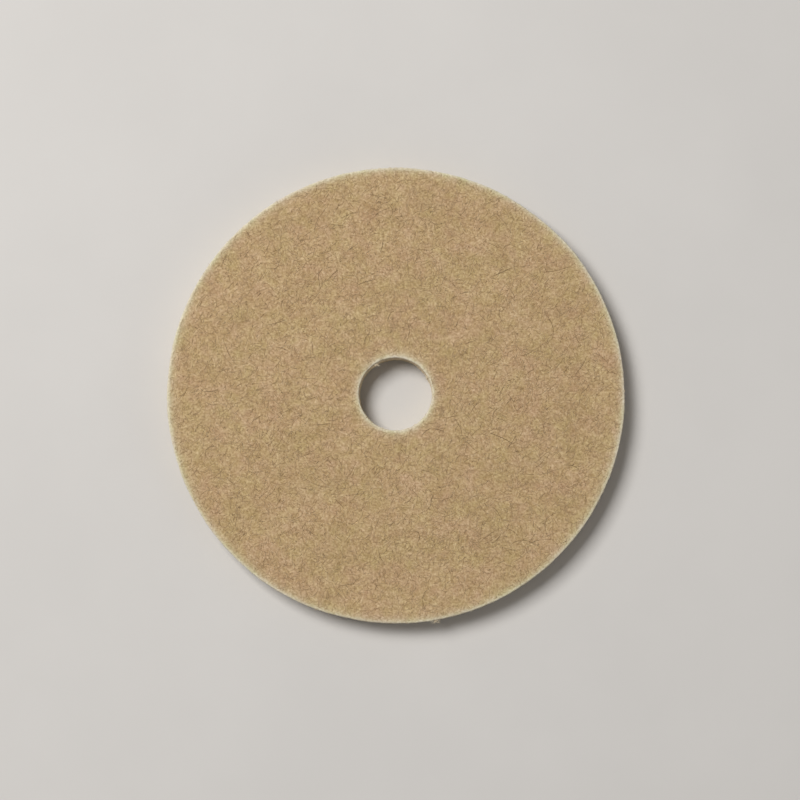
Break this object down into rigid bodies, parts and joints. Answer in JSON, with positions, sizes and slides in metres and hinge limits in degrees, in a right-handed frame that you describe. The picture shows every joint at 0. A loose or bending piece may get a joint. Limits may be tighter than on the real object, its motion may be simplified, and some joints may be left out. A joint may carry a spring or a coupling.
{
  "type": "felt polishing wheel",
  "caption": "Flat round felt polishing wheel with a plain arbor hole: hair felt facings bonded to a wool felt core with a woven scrim inside.",
  "frame": {"origin": "on the arbor's axis, in the plane of the back face", "axes": "+Z along the arbor's axis, out of the front face; +X and +Y across the disc"},
  "size_m": [0.1, 0.1, 0.006],
  "materials": {
    "hair_felt": "matte tan hair felt with loose dark and pale fibres",
    "wool_felt": "matte cream wool felt",
    "scrim_cloth": "matte plain-woven yarn",
    "bond_film": "dull set adhesive"
  },
  "bodies": {
    "root": {"back_felt": "hair_felt", "back_bond": "bond_film", "back_core_felt": "wool_felt", "scrim": "scrim_cloth", "front_core_felt": "wool_felt", "front_bond": "bond_film", "front_felt": "hair_felt"}
  },
  "joints": []
}
